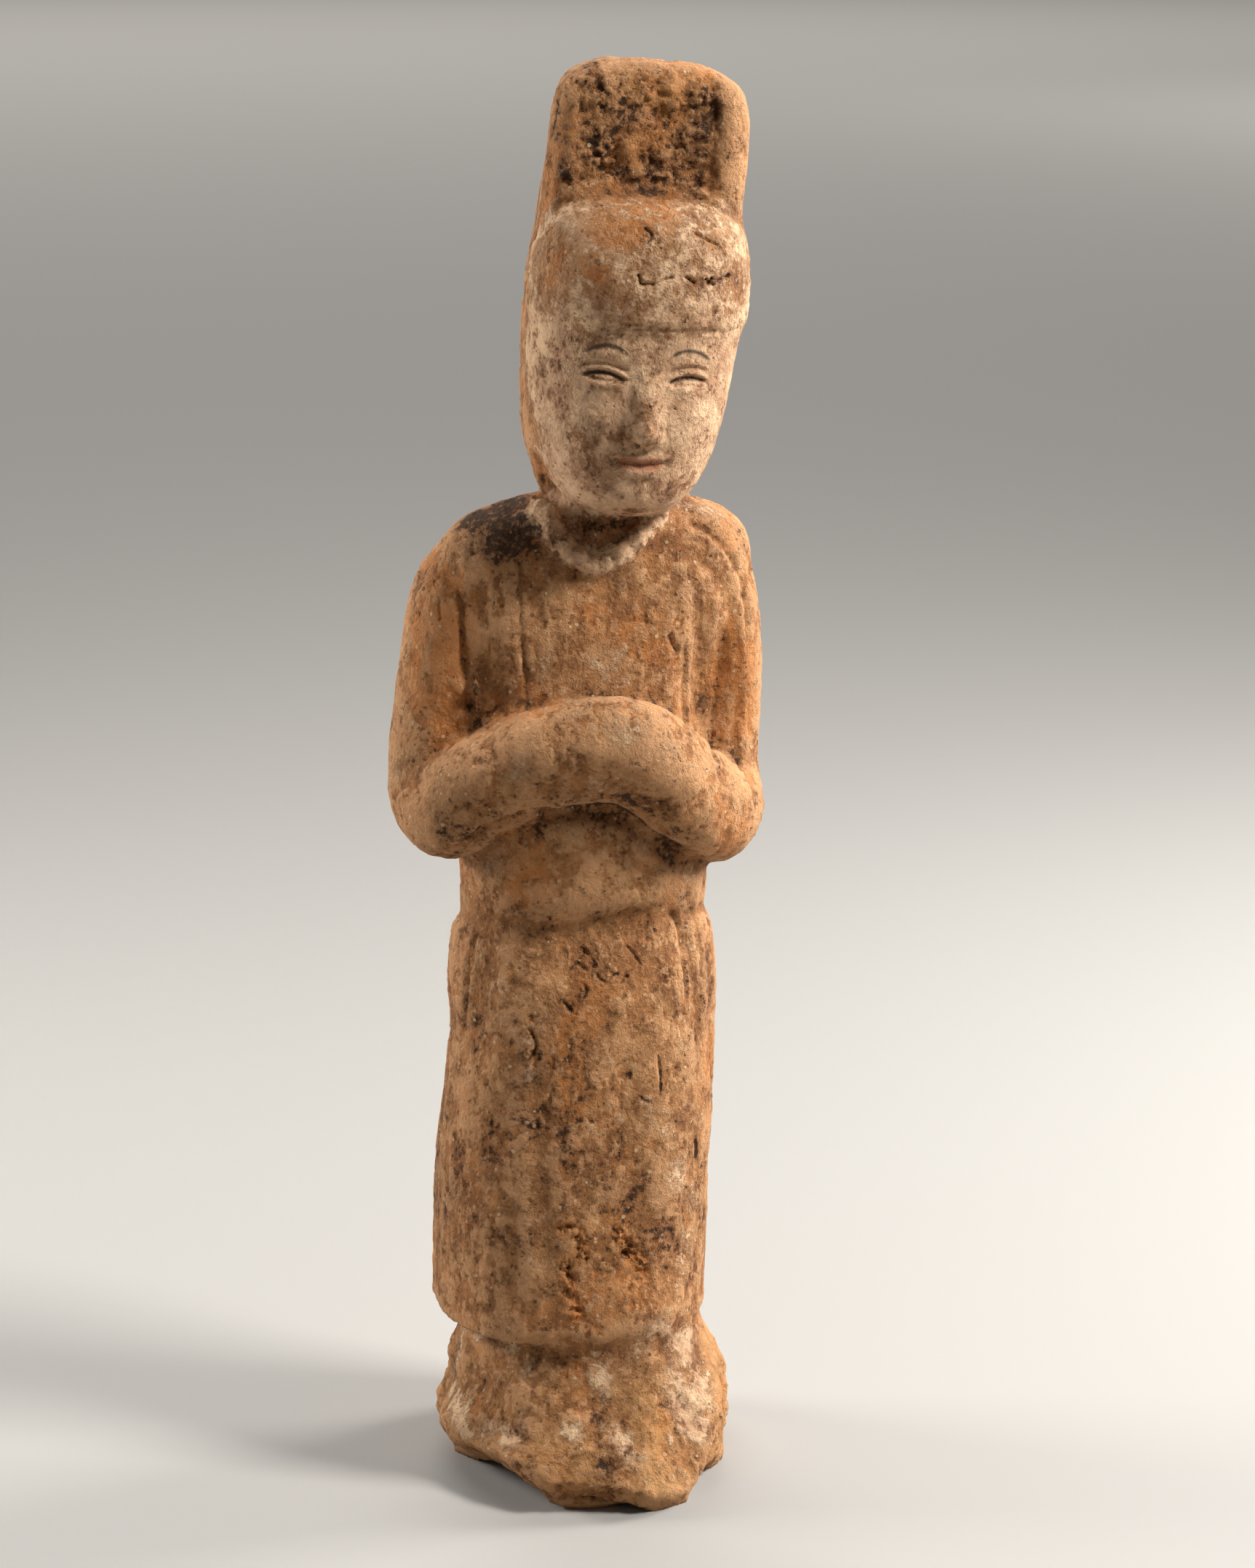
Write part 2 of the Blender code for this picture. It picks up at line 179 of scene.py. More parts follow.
closer = bmesh.new()
closer.from_mesh(attendant.data)
fine = {point for point in closer.verts if is_fine(point.co / MM)}
fine_edges = [edge for edge in closer.edges if edge.verts[0] in fine and edge.verts[1] in fine]
bmesh.ops.subdivide_edges(closer, edges=fine_edges, cuts=1, use_grid_fill=True)
closer.to_mesh(attendant.data)
closer.free()
print(f"the net has {len(attendant.data.vertices)} points, {len(fine)} of them in fine places")

# %% [markdown]
# All carving works on two arrays: where each point is, in millimetres, and which way is out of the
# clay there. A tool mark is a line that the clay is pressed in along, deepest at the line and
# easing out to nothing at its width, which is what a wooden tool or a fingernail leaves. Noise of
# a size in millimetres makes the unevenness of hand-pressed clay, and the cells of a Voronoi
# pattern make its pits. A thin line has to start from the skin as it is, or half of it would miss
# the clay, so the rays of the camera meet the skin from here on, and it is surveyed again after
# each stage that moves it.

# %% The clay as arrays


class Clay:
    """A piece's points, in mm, and their outward directions."""

    def __init__(self, piece):
        self.piece = piece
        self.read()

    def read(self):
        """Takes the points as they are now."""
        mesh = self.piece.data
        flat = np.empty(len(mesh.vertices) * 3, np.float32)
        mesh.vertices.foreach_get("co", flat)
        self.at = flat.reshape(-1, 3).astype(float) / MM
        mesh.vertices.foreach_get("normal", flat)
        self.out = flat.reshape(-1, 3).astype(float)

    def move(self, step):
        """Moves each point by its step in mm."""
        mesh = self.piece.data
        mesh.vertices.foreach_set("co", ((self.at + step) * MM).astype(np.float32).ravel())
        mesh.update()
        self.read()

    def press(self, amount):
        """Raises each point by its amount in mm, or presses it in where that is below 0."""
        self.move(amount[:, None] * self.out)


def ease(low, high, value):
    """0 below low, 1 above high, smooth between."""
    share = np.clip((value - low) / (high - low), 0, 1)
    return share * share * (3 - 2 * share)


def hill(value, middle, width):
    """1 at the middle, easing to nothing past a width on both sides."""
    return np.exp(-(((value - middle) / width) ** 2))


def averaged(values, passes):
    """Values spread over the skin; each pass takes in the next ring of neighbours."""
    edges = attendant.data.edges
    ends = np.empty(len(edges) * 2, np.int32)
    edges.foreach_get("vertices", ends)
    one, other = ends.reshape(-1, 2).T
    neighbours = np.bincount(ends, minlength=len(values))[:, None]
    for _ in range(passes):
        total = np.empty_like(values)
        for axis in range(values.shape[1]):
            total[:, axis] = np.bincount(one, values[other, axis], len(values))
            total[:, axis] += np.bincount(other, values[one, axis], len(values))
        values = (values + total / neighbours) / 2
    return values


def hollow(passes):
    """How deep each point lies below its surroundings, in mm."""
    return ((averaged(clay.at, passes) - clay.at) * clay.out).sum(1)


def survey():
    """The clay as it is now, for the rays of the camera."""
    return BVHTree.FromObject(attendant, bpy.context.evaluated_depsgraph_get())


clay = Clay(attendant)
surface = survey()
print(f"the skin reaches from {clay.at.min(0).round(1)} to {clay.at.max(0).round(1)} mm")

# %% Tool lines and noise
SEED_STEP = np.array([17.3, 5.1, 9.7])  # how far apart the noises of two seeds lie
OCTAVE_STEP = 2.0  # how much finer each octave of a noise is
NOISE_SEED = 1  # a set seed, because noise_vector starts from the clock without one

noise.seed_set(NOISE_SEED)


def through(points, steps=6):
    """A smooth line through a few points."""
    table = np.array(points, float)
    ends = np.vstack([2 * table[0] - table[1], table, 2 * table[-1] - table[-2]])
    line = []
    for before, here, after, beyond in zip(ends, ends[1:], ends[2:], ends[3:]):
        for t in np.arange(steps) / steps:
            pull = 3 * here - before - 3 * after + beyond
            bend = 2 * before - 5 * here + 4 * after - beyond + t * pull
            line.append(here + t * (after - before + t * bend) / 2)
    return np.array([*line, table[-1]])


def along(pixels, reach=12.0):
    """How far each point is, in mm, from a line in the photograph, and its share of the way."""
    route = np.array([touch(pixel) for pixel in through(pixels)])
    nearest, share = np.full(len(clay.at), 1e3), np.zeros(len(clay.at))
    beside = ((clay.at > route.min(0) - reach) & (clay.at < route.max(0) + reach)).all(1)
    close = np.flatnonzero(beside)
    for i, (start, end) in enumerate(zip(route, route[1:])):
        run = end - start
        t = np.clip((clay.at[close] - start) @ run / max(run @ run, 1e-9), 0, 1)
        gap = np.linalg.norm(clay.at[close] - start - t[:, None] * run, axis=1)
        nearer = gap < nearest[close]
        nearest[close[nearer]] = gap[nearer]
        share[close[nearer]] = (i + t[nearer]) / (len(route) - 1)
    return nearest, share


def stroke(pixels, width, depth, taper=0.3):
    """What a tool drawn along the pixels takes from the clay: half width and depth in mm."""
    gap, share = along(pixels)
    return -depth * ease(0, taper, share) * ease(0, taper, 1 - share) * hill(gap, 0, width)


def on_head():
    """Each point's place across, forwards and up from the chin, and 1 on the front of the head."""
    turned = np.array(back_to_head)
    own = clay.at @ turned[:3, :3].T + turned[:3, 3]
    return own[:, 0], -own[:, 1], own[:, 2], ease(5, 12, -own[:, 1]) * ease(-1, 1, own[:, 2])


def near(lines, half):
    """1 on any of the lines, easing to nothing past half a width in mm."""
    return np.clip(sum(hill(along(line)[0], 0, half) for line in lines), 0, 1)


def spot(pixel, radius):
    """1 at the clay that a pixel shows, easing to nothing past its radius in mm."""
    return hill(np.linalg.norm(clay.at - touch(pixel), axis=1), 0, radius)


def grain(size, seed=0, octaves=3, tall=1.0, fading=1.0):
    """Noise, about -1 to 1, in lumps as wide as size in mm and tall times as high.

    Each further octave adds lumps half as wide, and they are weaker the more it is fading.
    """
    places = clay.at / (size * np.array([1, 1, tall])) + SEED_STEP * (seed + 1)
    return np.array([noise.fractal(p, fading, OCTAVE_STEP, octaves) for p in places.tolist()])


def crumbs(size, seed=0):
    """Rounded lumps as wide as size in mm: 0 in the sharp cracks between them, up to 1 on top."""
    return np.abs(grain(size, seed)) * 2


def pits(spacing, radius, depth, where):
    """Ragged holes of mixed size, a spacing apart, where the share given is above nothing."""
    taken = np.zeros(len(clay.at))
    chosen = np.flatnonzero(where > 0.05)
    for i, place in zip(chosen, (clay.at[chosen] / spacing + 40).tolist()):
        place = Vector(place)
        shaken = place + 0.3 * noise.noise_vector(place * 2.3)  # for ragged rims
        gaps, cells = noise.voronoi(shaken)
        size = 0.35 + 0.65 * abs(noise.cell(cells[0] * 31.7))  # one for each hole
        share = 1 - gaps[0] * spacing / (radius * size)
        taken[i] = size * where[i] * max(share, 0) ** 0.6
    return -depth * taken


# %% [markdown]
# The deep lines first. The mould left grooves between the arms and the chest, a flat fold down the
# chest on the right hand's side, the slanting side folds of the skirt and the seam over the left
# shoulder. They are in the solid already, as soft valleys. All valleys are deepened a little
# first, each point by how far it lies below its surroundings, and the folds then get the narrow
# bottom that shadow collects in. Some of the solid's soft valleys and steps run a little beside
# the real ones or are too strong, such as the groove beside the right arm, the belt and the hat's
# rim on the left. These are wiped flat or filled before that, and so is the step of the hem, which
# fades towards the left foot. Under the joined sleeves the clay was cut back to set them free of
# the belly, and their lower side is rounder than the solid's.

# %% Folds and seams
WIPED = (
    # pixels, half width
    (((732, 745), (730, 800), (729, 860), (730, 915), (735, 975)), 4.0),
    (((700, 1849), (781, 1853), (853, 1848), (920, 1834), (960, 1812)), 6.0),
    (((640, 810), (655, 870), (660, 930), (665, 985), (674, 1012)), 4.5),
    (((640, 1270), (690, 1287), (752, 1287), (829, 1276), (928, 1256)), 3.5),
    (((668, 1285), (665, 1340), (660, 1405)), 2.6),
    (((795, 240), (796, 190), (806, 135), (870, 121), (950, 126), (985, 142)), 4.0),
    (
        ((640, 1160), (703, 1120), (745, 1108), (801, 1103), (850, 1111), (891, 1134), (925, 1158)),
        3.0,
    ),
)
FILLED = (
    # pixels, half width, rise, the share that tapers
    (((650, 815), (655, 870), (658, 930), (661, 990)), 2.8, 2.3, 0.45),
    (((650, 915), (657, 960), (666, 1000)), 3.6, 3.0, 0.3),
)
ROUNDED = (
    (618, 1160), (662, 1128), (703, 1104), (745, 1093),
    (801, 1089), (850, 1097), (891, 1120), (925, 1144),
)
FREED = (
    (618, 1180), (662, 1156), (703, 1135), (745, 1122), (801, 1117),
    (850, 1125), (891, 1148), (925, 1172), (950, 1186),
)
FOLDS = (
    # pixels, half width, depth
    (((628, 800), (636, 885), (640, 935), (645, 980)), 0.8, 0.9),
    (((718, 740), (716, 800), (716, 850), (719, 903), (727, 978)), 0.5, 0.45),
    (((944, 880), (940, 960), (948, 1020)), 1.0, 0.7),
    (((993, 870), (985, 941), (978, 1016), (989, 1054)), 0.9, 0.7),
    (((1012, 850), (1016, 930), (1012, 1010), (1020, 1070)), 0.8, 0.5),
    (((940, 711), (985, 740), (1014, 782), (1026, 838), (1030, 905)), 0.8, 0.6),
    (((659, 1262), (646, 1323), (639, 1384), (634, 1440)), 0.8, 0.5),
    (((918, 1245), (935, 1279), (942, 1325), (946, 1390)), 0.7, 0.9),
    (((944, 1205), (948, 1240), (962, 1290), (968, 1390)), 1.0, 0.4),
    (((700, 1640), (704, 1700), (700, 1760), (704, 1800)), 1.6, 0.35),
)
WIPE_PASSES, VALLEY_PASSES = 150, 50  # how wide a look the points take round them
DEEPENED, RAISED = 0.9, 0.3  # what a valley and a ridge gain, as shares of their own depth

rounded = stroke(ROUNDED, width=6.5, depth=2.5, taper=0.15)
clay.press(rounded - sum(stroke(*line) for line in FILLED))
clay.press(stroke(FREED, width=2.2, depth=1.6, taper=0.15))
evened = averaged(clay.at, WIPE_PASSES) - clay.at
wiped = 0
for pixels, half in WIPED:
    gap, share = along(pixels, 3 * half)
    wiped = np.maximum(wiped, hill(gap, 0, half) * ease(0, 0.25, share) * ease(0, 0.1, 1 - share))
clay.move(wiped[:, None] * evened)
valleys = hollow(VALLEY_PASSES)
clay.press(-DEEPENED * np.maximum(valleys, 0) - RAISED * np.minimum(valleys, 0))
surface = survey()
folds = sum(stroke(*fold, taper=0.15) for fold in FOLDS)
clay.press(folds)
print(f"{len(FOLDS)} folds, the deepest {-folds.min():.2f} mm")

# %% [markdown]
# The blouse sags a little over the belt, which crosses the whole front as a shallow crease. Below
# the knees the robe's hem is a step, proud of the under-robe by a millimetre or two. The solid has
# that step.

# %% The belt
BELT = ((640, 1244), (693, 1266), (746, 1274), (792, 1272), (842, 1262), (892, 1248), (944, 1230))

crease = stroke(BELT, width=1.5, depth=0.45, taper=0.15)
clay.press(crease)
print(f"the belt is pressed in up to {-crease.min():.2f} mm")

# %% [markdown]
# The collar is a soft roll of clay laid round the neck. It was thick with white slip, which has
# turned to a crumbling crust, so its roll is raised here and roughened with small lumps. A crease
# under the jaw parts the neck from the head.

# %% The collar
COLLAR = (
    (742, 690), (760, 727), (786, 757), (814, 772),
    (843, 764), (872, 744), (900, 722), (914, 708),
)
COLLAR_HALF, COLLAR_RISE, COLLAR_CRUST = 3.0, 0.7, 1.3  # mm
JAW = ((733, 660), (751, 688), (783, 707), (820, 718), (860, 720), (890, 706))


def collar():
    """1 along the roll, which is widest on the figure's right, easing to nothing beside it."""
    gap, share = along(COLLAR)
    return hill(gap, 0, COLLAR_HALF * (1.3 - 0.75 * share))


clay.press(collar() * (COLLAR_RISE + COLLAR_CRUST * grain(3.4, seed=3, octaves=4, fading=0.6)))
clay.press(stroke(JAW, width=0.9, depth=0.7, taper=0.2))
print(f"the collar stands {COLLAR_RISE} mm higher and is crusted")

# %% [markdown]
# The face is a plain one in the usual proportions, half closed eyes and a closed mouth at rest. It
# is laid out from the head's own middle, not from the picture: the eyes lie halfway up the bare
# head, an eye's width apart, with the nose and the mouth below in the canon's shares. The solid
# has the nose, brows, cheeks and lips as soft swellings, and these lines are what a pointed tool
# adds to them before firing. Each is a depth, the place of its middle and its half width, all in
# mm.

# %% The layout of the face
FACE_TALL, FACE_WIDTH = 55.0, 42.0  # mm
EYES_UP, BROWS_UP, NOSE_UP, MOUTH_UP = (FACE_TALL * share for share in (0.50, 0.585, 0.29, 0.195))
EYE_OUT, EYE_HALF = FACE_WIDTH * 0.2, 4.1


def eye_edges(out):
    """The share of the way along an eye, and how high its upper and lower lids end there."""
    t = (out - EYE_OUT) / (2 * EYE_HALF) + 0.5
    bowed = np.sin(np.pi * np.clip(t, 0, 1))
    corner = EYES_UP - 0.5 + 0.5 * t
    return t, corner + 1.0 * bowed, corner - 0.7 * bowed


print(f"the eyes lie {EYES_UP:.1f} mm above the chin and {2 * EYE_OUT:.1f} mm apart")

# %% Eyes, nose and mouth
across, forward, up, front = on_head()
out = np.abs(across)
t, upper, lower = eye_edges(out)
eye = ease(-0.08, 0.1, t) * (1 - ease(0.9, 1.08, t))
lines = 0.5 * hill(out, EYE_OUT, 2.8) * hill(up, EYES_UP - 0.2, 1.6)
lines -= eye * (0.6 * hill(up, upper, 0.4) + 0.35 * hill(up, lower, 0.4))
lines += eye * (0.5 * hill(up, upper + 0.9, 0.6) + 0.2 * hill(up, lower - 0.8, 0.7))
lines -= eye * 0.45 * hill(up, upper + 2.0, 0.5)
lines += 0.3 * hill(across, 0, 1.9) * hill(up, NOSE_UP + 0.8, 1.6)
lines -= 0.6 * hill(out, 2.0, 0.9) * hill(up, NOSE_UP - 1.3, 0.8)
lines -= 0.5 * hill(out, 4.5, 0.7) * hill(up, NOSE_UP + 1.2, 1.9)
lines -= 0.3 * hill(across, 0, 0.8) * hill(up, MOUTH_UP + 2.9, 1.3)
parting = MOUTH_UP + 0.25 * (out / 4.6) ** 2 - 0.3 * hill(across, 0, 0.9)
lips = 1 - ease(4.0, 5.8, out)
lines -= 0.6 * lips * hill(up, parting, 0.5)
lines += 0.35 * lips * hill(up, parting + 1.1, 0.8) * (1 - 0.5 * hill(across, 0, 0.8))
lines += 0.4 * (1 - ease(2.4, 4.6, out)) * hill(up, parting - 1.5, 0.9)
lines -= 0.35 * hill(out, 5.4, 0.9) * hill(up, MOUTH_UP + 0.2, 1.0)
lines -= 0.45 * hill(across, 0, 3.4) * hill(up, MOUTH_UP - 3.5, 1.0)
clay.move((front * lines)[:, None] * -np.array(head_frame.col[1].xyz))
print(f"the face's lines are up to {-(front * lines).min():.2f} mm deep")

# %% [markdown]
# The close cap ends in a low edge over the brow. Above it stands the hat's tall box, whose front
# is sunk behind a rim and has lost its skin: there the clay is raw, as rough as a crust, full of
# pits and packed with soil. A ragged ridge of clay marks the joint of cap and hat.

# %% Cap, hat and their cracks
HAT_JOINT = ((766, 272), (800, 258), (867, 239), (913, 242), (959, 264), (1006, 296))
CRACKS = (
    ((877, 377), (879, 384), (880, 392)),
    ((880, 392), (892, 390), (899, 391), (912, 385), (926, 381)),
    ((941, 380), (949, 385), (956, 390)),
    ((969, 383), (976, 388), (983, 393)),
    ((986, 386), (994, 382), (1004, 377)),
    ((980, 381), (976, 388), (972, 394)),
    ((954, 319), (970, 328), (988, 337)),
    ((885, 312), (896, 323), (889, 336)),
)
RAW_MIDDLE = -1.4  # mm across the head
RAW_RIGHT, RAW_LEFT = (12.5, 19.5), (12.6, 15.6)  # mm from there, where it thins out to nothing


def hat_front():
    """1 on the raw sunk front of the hat, 0 on its rim and elsewhere."""
    across, forward, up, _ = on_head()
    ragged = 2.6 * grain(6.0, seed=5, octaves=5, fading=0.7)
    joint = CAP_TALL + 1.2 - 5.5 * ((across + 2) / 15) ** 2
    above_joint = ease(joint - 0.6, joint + 0.8, up + 0.5 * ragged)
    below_rim = 1 - ease(HAT_TALL - 6, HAT_TALL - 1, up + ragged)
    aside = np.abs(across - RAW_MIDDLE) + ragged
    sides = np.where(across < RAW_MIDDLE, ease(*RAW_RIGHT, aside), ease(*RAW_LEFT, aside))
    return above_joint * below_rim * (1 - sides) * ease(0, 4, forward)


def back_strip():
    """1 down the strip behind the cap on the figure's right, 0 elsewhere."""
    across, forward, up, _ = on_head()
    return ease(20, 60, up) * hill(forward, 0.0, 3.0) * (across < -12)


surface = survey()
across, forward, up, front = on_head()
raw, strip = hat_front(), back_strip()
crust = 0.7 * grain(4.0, seed=8, octaves=5, fading=0.5) + 0.3 * crumbs(2.4, seed=9) - 0.3
crumbled = raw * ease(-0.1, 0.3, grain(6, seed=10))
clay.press(raw * crust + pits(spacing=3.4, radius=1.0, depth=0.8, where=crumbled))
clay.press(strip * (0.9 * grain(4, seed=16, octaves=4) - 0.2))
joint = stroke(HAT_JOINT, width=1.0, depth=-0.8, taper=0.1)
joint = joint * (1 + grain(2.5, seed=18, octaves=3))
clay.press(-0.25 * hill(up, CAP_EDGE - 0.6, 0.7) * front + joint)
clay.press(sum(stroke(crack, width=0.38, depth=0.6, taper=0.05) for crack in CRACKS))
print(f"the hat's front is raw over {int((raw > 0.5).sum())} points")
print(f"{len(CRACKS)} cracks run in the cap")

# %% [markdown]
# Burial and handling left their own marks: rows of short scratches below the belt, torn gouges
# above the hem, chips with raised rims on the chest, and pits where grit fell out, thickest beside
# the left arm, on the joined sleeves and on the skirt near the right hand's side.

# %% Scratches, gouges and pits
SCRATCHES = (
    ((798, 1302), (808, 1311), (820, 1326)),
    ((806, 1306), (796, 1319), (783, 1334)),
    ((792, 1322), (799, 1329), (808, 1334)),
    ((819, 1337), (825, 1346), (834, 1352)),
    ((836, 1349), (845, 1339), (850, 1341)),
    ((854, 1352), (859, 1343), (864, 1342)),
    ((860, 1298), (870, 1311), (882, 1327)),
    ((771, 1374), (779, 1382), (787, 1392)),
    ((905, 1452), (908, 1480), (908, 1504)),
    ((878, 1507), (886, 1513), (896, 1515)),
    ((725, 1411), (737, 1435), (728, 1457)),
    ((956, 1566), (957, 1580), (955, 1596)),
    ((800, 1350), (806, 1362), (801, 1376)),
)
GOUGES = (
    ((772, 1686), (792, 1696), (801, 1708), (803, 1724)),
    ((779, 1738), (785, 1775), (792, 1808)),
    ((850, 1696), (858, 1710), (862, 1722)),
    ((872, 1722), (878, 1734), (884, 1748)),
)
CHIPS = (
    # pixels, half width, depth, the share that tapers
    (((920, 870), (925, 884), (933, 899)), 0.6, 1.0, 0.1),
    (((926, 857), (931, 852), (937, 857), (934, 864), (928, 863)), 0.4, 0.4, 0.05),
    (((891, 834), (896, 846), (902, 859)), 0.8, -0.4, 0.2),
)
PITTED = (
    # pixel, radius in mm
    ((953, 915), 2.6),
    ((955, 950), 2.6),
    ((952, 990), 2.6),
    ((885, 1000), 4.0),
    ((668, 1520), 3.4),
    ((676, 1552), 3.4),
    ((962, 1135), 3.0),
    ((760, 1270), 3.0),
    ((820, 1330), 4.0),
    ((640, 1120), 3.0),
    ((760, 865), 3.0),
    ((790, 1030), 4.0),
    ((905, 1035), 4.0),
    ((700, 1075), 4.0),
)

surface = survey()
clay.press(sum(stroke(scratch, width=0.36, depth=0.45, taper=0.2) for scratch in SCRATCHES))
clay.press(sum(stroke(*chip) for chip in CHIPS))
clay.press(-near(GOUGES, 1.5) * (0.45 + 1.3 * grain(2.2, seed=19, octaves=4, fading=0.7)))
pitted = np.clip(sum(spot(*place) for place in PITTED), 0, 1)
crowded = pits(spacing=2.4, radius=0.95, depth=0.8, where=pitted)
single = pits(spacing=9.0, radius=0.8, depth=0.5, where=np.ones(len(clay.at)))
clay.press(crowded + single)
print(f"{len(SCRATCHES)} scratches, {len(GOUGES)} gouges and {len(PITTED)} pitted places")

# %% [markdown]
# The outermost skin is finer clay, wiped wet. It has scaled off in patches about a quarter of a
# millimetre deep, which leaves low steps with ragged edges, and the coarser clay below shows in
# them. The same patches are needed again for the colours, so they are stored on the points.

# %% Scales lost from the skin
SCALE_DEEP = 0.22  # mm


def store(name, values):
    """Stores a value a point, from 0 to 1, for the material."""
    layer = attendant.data.attributes.new(name, "FLOAT", "POINT")
    layer.data.foreach_set("value", np.clip(values, 0, 1).astype(np.float32))
    print(f"{name}: {values.mean():.2f} on average")


across, forward, up, front = on_head()
kept = front * (1 - ease(CAP_TALL, CAP_TALL + 3, up))
lost = ease(0.14, 0.28, grain(8.0, seed=17, octaves=6, tall=1.8, fading=0.6)) * (1 - 0.8 * kept)
clay.press(-SCALE_DEEP * lost * (1 + 0.8 * grain(2.0, seed=20, octaves=2)))
store("scaled", lost)

# %% [markdown]
# The under-robe was pressed by hand and stood in wet soil. It is the roughest part: lumps a few
# millimetres across, a crust of lime and grit, and a broken lower edge. All the rest has only the
# slight unevenness of a wiped surface, with upright streaks where the tool or the mould's grain
# ran.

# %% Lumps, streaks and the seam of the mould
FOOT_TOP = 36.0  # mm
TUCK = 3.5  # mm that the lower edge turns in on both sides
TUCK_UP, TUCK_OUT = 12.0, (12.0, 24.0)  # mm: below here, and from nothing to all of it this far out
STREAKS_UP = 200.0  # mm


def foot():
    """1 low on the under-robe, 0 above its top."""
    return 1 - ease(FOOT_TOP - 16, FOOT_TOP, clay.at[:, 2])


low = foot()
standing = ease(0.2, 2.0, clay.at[:, 2])
lumps = 0.7 * crumbs(17.0, seed=11) + 0.5 * grain(8.0, seed=12, octaves=5, fading=0.6) - 0.4
lumps += 0.3 * grain(2.6, seed=25, octaves=3)
grit_lost = pits(spacing=6.0, radius=1.0, depth=0.6, where=low * standing)
clay.press(low * standing * lumps + grit_lost)
tucked = -TUCK * (1 - ease(0, TUCK_UP, clay.at[:, 2])) * ease(*TUCK_OUT, np.abs(clay.at[:, 0]))
clay.move(np.column_stack([tucked * np.sign(clay.at[:, 0]), np.zeros((len(tucked), 2))]))
whole = 0.22 * grain(11.0, seed=13) + 0.12 * grain(3.0, seed=14, octaves=3, fading=0.6)
streaks = 0.10 * grain(1.8, seed=15, octaves=2, tall=14)
side = ease(0.6, 0.85, np.abs(clay.out[:, 0]))
seam = 0.3 * side * hill(clay.at[:, 1], 3 + 1.2 * np.sin(clay.at[:, 2] / 23), 0.9)
clay.press(standing * (whole + streaks * (clay.at[:, 2] < STREAKS_UP) + seam))
print(f"the foot's lumps rise up to {(low * lumps).max():.1f} mm")

# %% [markdown]
# The figure has to stand, so whatever the carving pushed below the ground goes back to it, and the
# underside is one flat. Then the skin is thinned: faces go from where the clay is even and stay in
# the lines, pits and crusts, which keeps the piece light enough for a real-time model.

# %% The underside, and fewer faces
FACES_KEPT = 190000
SPARING = 4.0  # how strongly the thinning keeps off the spared points
SOLE = 0.6  # mm above the ground within which faces that look down belong to the underside
SHARP_ANGLE = math.radians(75)

step = np.zeros_like(clay.at)
under = (clay.at[:, 2] < SOLE) & (clay.out[:, 2] < -0.5)
step[:, 2] = np.where(under, -clay.at[:, 2], np.maximum(-clay.at[:, 2], 0))
clay.move(step)
across, forward, up, front = on_head()
spared = attendant.vertex_groups.new(name="spared")
surface = survey()
fine_lines = near(CRACKS + SCRATCHES + GOUGES, 1.5) > 0.4
for i in np.flatnonzero(fine_lines | (front > 0.3) & (up < CAP_EDGE)).tolist():
    spared.add([i], 1.0, "REPLACE")
thinner = attendant.modifiers.new("thinner", "DECIMATE")
thinner.vertex_group, thinner.invert_vertex_group = "spared", True
thinner.vertex_group_factor = SPARING
attendant.data.calc_loop_triangles()
thinner.ratio = min(1.0, FACES_KEPT / len(attendant.data.loop_triangles))
thinner.use_collapse_triangulate = True
settle(attendant)
attendant.data.shade_smooth()
attendant.data.set_sharp_from_angle(angle=SHARP_ANGLE)
clay.read()
step = np.zeros_like(clay.at)
step[:, 2] = np.maximum(-clay.at[:, 2], 0)
clay.move(step)
print(f"{len(attendant.data.polygons)} faces, the lowest point at {clay.at[:, 2].min():.3f} mm")

# %% [markdown]
# What the eye reads as age is mostly colour, and it follows the form: soil stays in hollows, slip
# stays where it was sheltered, and edges are rubbed pale. So the next values are worked out on the
# finished skin, one number a point, and the material reads them. The hollows come from comparing
# each point with the average of its neighbours over a few millimetres.

# %% Hollows and edges
FINE_PASSES, WIDE_PASSES = 8, 90

surface = survey()
fine_hollow, wide_hollow = hollow(FINE_PASSES), hollow(WIDE_PASSES)
scaled = np.empty(len(clay.at), np.float32)
attendant.data.attributes["scaled"].data.foreach_get("value", scaled)
print(f"hollows up to {fine_hollow.max():.2f} mm fine and {wide_hollow.max():.2f} mm wide")

# %% [markdown]
# White slip once covered the head and neck and parts of the robes. It is thick on the face, collar
# and neck, thin and stained on the cap, and left in patches on the foot, along the hem's shelter
# and down the left side of the skirt. On the joined sleeves a thin wash of it makes the clay paler
# and pinker.

# %% Where slip is left
SLIP_PATCHES = (
    # pixel, radius in mm, thickness
    ((724, 1884), 2.6, 0.8),
    ((788, 1968), 3.0, 0.8),
    ((706, 1975), 4.0, 0.6),
    ((860, 1990), 5.0, 0.8),
    ((850, 1960), 4.0, 0.5),
    ((670, 1960), 4.0, 0.7),
    ((930, 2015), 4.0, 0.6),
    ((838, 2020), 3.0, 0.6),
    ((940, 1600), 4.5, 0.5),
    ((945, 1650), 5.0, 0.6),
    ((935, 1710), 5.0, 0.5),
    ((724, 1432), 1.5, 0.8),
    ((727, 1482), 1.5, 0.8),
    ((668, 1190), 3.0, 0.45),
    ((650, 1140), 4.0, 0.4),
    ((700, 1060), 5.0, 0.35),
    ((800, 985), 7.0, 0.45),
    ((860, 985), 7.0, 0.5),
    ((930, 1040), 6.0, 0.35),
    ((1010, 1160), 6.0, 0.35),
    ((860, 800), 6.0, 0.45),
    ((745, 345), 4.0, 0.6),
    ((768, 305), 3.0, 0.7),
    ((978, 282), 4.0, 0.6),
)
